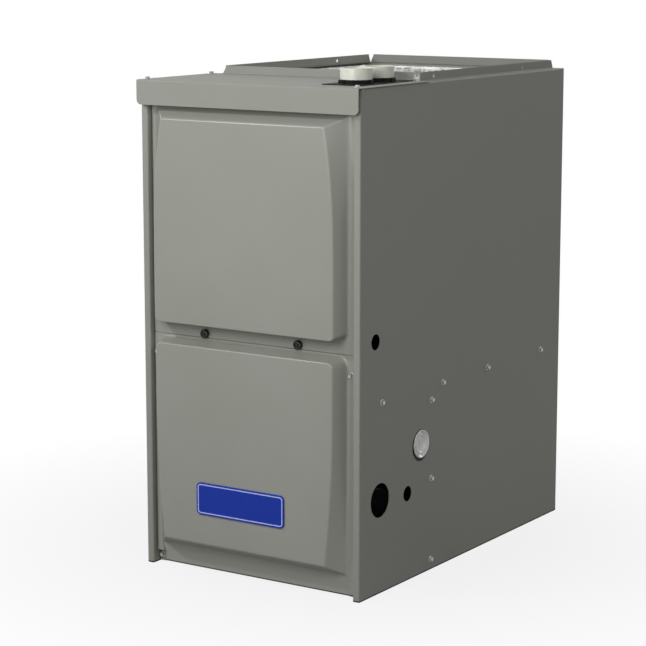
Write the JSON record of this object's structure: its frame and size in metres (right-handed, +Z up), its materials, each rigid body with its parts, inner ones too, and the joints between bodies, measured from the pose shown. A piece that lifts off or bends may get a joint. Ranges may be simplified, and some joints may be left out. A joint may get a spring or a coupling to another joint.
{
  "type": "forced air gas furnace",
  "caption": "Upflow condensing gas furnace: folded steel cabinet with two pressed front doors, open duct flanges on top, pipe couplings, and burners, heat exchanger and blower inside.",
  "frame": {"origin": "centre of the cabinet footprint on the floor", "axes": "+X to the right as seen from the front, -Y out of the front, +Z up"},
  "size_m": [0.4536, 0.7375, 0.881],
  "materials": {
    "case_paint": "satin grey enamel",
    "door_paint": "satin grey enamel",
    "galvanised_sheet": "galvanised, satin",
    "foil_liner": "bright foil",
    "zinc_screw": "zinc plated",
    "black_plastic": "moulded, matte",
    "white_plastic": "moulded, matte",
    "gasket_rubber": "moulded, matte",
    "drain_rubber": "matte",
    "red_hose": "matte silicone",
    "aluminised_steel": "aluminised, dull",
    "stainless_tube": "stainless, satin",
    "fin_aluminium": "mill finish",
    "cast_aluminium": "die cast",
    "black_iron": "pipe, satin",
    "wheel_steel": "galvanised, satin",
    "shaft_steel": "ground",
    "motor_paint": "black enamel",
    "switch_body": "moulded, matte",
    "button_red": "moulded, gloss",
    "ceramic": "glazed ceramic",
    "circuit_board": "solder mask, semi gloss",
    "transformer_steel": "varnished laminations",
    "badge_enamel": "blue enamel"
  },
  "bodies": {
    "cabinet": {"left_side_panel": "case_paint", "right_side_panel": "case_paint", "back_panel": "case_paint", "top_cap": "case_paint", "base_rails": "case_paint", "bottom_closure_panel": "galvanised_sheet", "vestibule_panel": "galvanised_sheet", "blower_deck": "galvanised_sheet", "door_rail": "galvanised_sheet", "side_stiffeners": "galvanised_sheet", "duct_liners": "foil_liner", "cabinet_screws": "zinc_screw", "top_screws": "zinc_screw", "hole_plugs": "black_plastic", "pipe_gasket": "gasket_rubber", "intake_coupling": "white_plastic", "vent_coupling": "white_plastic", "vent_pipe": "white_plastic", "condensate_trap": "black_plastic", "trap_cap": "white_plastic", "drain_hose": "drain_rubber", "primary_tubes": "aluminised_steel", "coupling_box": "aluminised_steel", "secondary_tubes": "stainless_tube", "secondary_fins": "fin_aluminium", "collector_box": "black_plastic", "burner_box": "galvanised_sheet", "burners": "aluminised_steel", "gas_manifold": "black_iron", "gas_valve": "cast_aluminium", "igniter": "ceramic", "flame_sensor": "ceramic", "rollout_switches": "switch_body", "inducer_housing": "black_plastic", "inducer_motor": "motor_paint", "pressure_switches": "switch_body", "pressure_tubes": "red_hose", "blower_housing": "galvanised_sheet", "blower_scroll": "galvanised_sheet", "blower_motor": "motor_paint", "motor_mount": "galvanised_sheet", "control_tray": "galvanised_sheet", "control_board": "circuit_board", "transformer": "transformer_steel", "junction_box": "galvanised_sheet", "door_switch": "switch_body"},
    "upper_door": {"upper_door": "door_paint"},
    "lower_door": {"lower_door": "door_paint", "badge_plate": "badge_enamel", "door_screws": "zinc_screw"},
    "left_knob": {"left_door_knob": "black_plastic"},
    "right_knob": {"right_door_knob": "black_plastic"},
    "switch_plunger": {"door_switch_plunger": "white_plastic"},
    "blower_rotor": {"blower_wheel": "wheel_steel", "wheel_hub": "wheel_steel", "blower_shaft": "shaft_steel"},
    "inducer_rotor": {"inducer_wheel": "wheel_steel"},
    "gas_knob": {"gas_valve_knob": "black_plastic"},
    "left_reset": {"left_reset_button": "button_red"},
    "right_reset": {"right_reset_button": "button_red"}
  },
  "joints": [
    {"name": "upper_door_swing", "type": "hinge", "parent": "cabinet", "child": "upper_door", "pos_m": [0, -0.348, 0.848], "axis": [-1, 0, 0], "range_deg": [0, 20]},
    {"name": "lower_door_lift_off", "type": "slide", "parent": "cabinet", "child": "lower_door", "axis": [0, -1, 0], "range_m": [0, 0.25]},
    {"name": "left_knob_turn", "type": "hinge", "parent": "upper_door", "child": "left_knob", "pos_m": [-0.096, -0.352, 0.4235], "axis": [0, 1, 0], "range_deg": [0, 90]},
    {"name": "right_knob_turn", "type": "hinge", "parent": "upper_door", "child": "right_knob", "pos_m": [0.096, -0.352, 0.4235], "axis": [0, 1, 0], "range_deg": [0, 90]},
    {"name": "switch_plunger_slide", "type": "slide", "parent": "cabinet", "child": "switch_plunger", "axis": [0, -1, 0], "range_m": [0, 0.004]},
    {"name": "blower_spin", "type": "hinge", "parent": "cabinet", "child": "blower_rotor", "pos_m": [0, 0.06, 0.165], "axis": [1, 0, 0], "continuous": true},
    {"name": "inducer_spin", "type": "hinge", "parent": "cabinet", "child": "inducer_rotor", "pos_m": [0.082, -0.2, 0.428], "axis": [0, -1, 0], "continuous": true},
    {"name": "gas_knob_turn", "type": "hinge", "parent": "cabinet", "child": "gas_knob", "pos_m": [-0.146, -0.277, 0.649], "axis": [0, 1, 0], "range_deg": [0, 90]},
    {"name": "left_reset_press", "type": "slide", "parent": "cabinet", "child": "left_reset", "axis": [0, 0, -1], "range_m": [0, 0.0015], "stiffness_N_per_m": 100, "springref_m": -0.001},
    {"name": "right_reset_press", "type": "slide", "parent": "cabinet", "child": "right_reset", "axis": [0, 0, -1], "range_m": [0, 0.0015], "stiffness_N_per_m": 100, "springref_m": -0.001}
  ],
  "couplings": [
    {"joint": "switch_plunger_slide", "follows": "lower_door_lift_off", "ratio": 0.016}
  ]
}
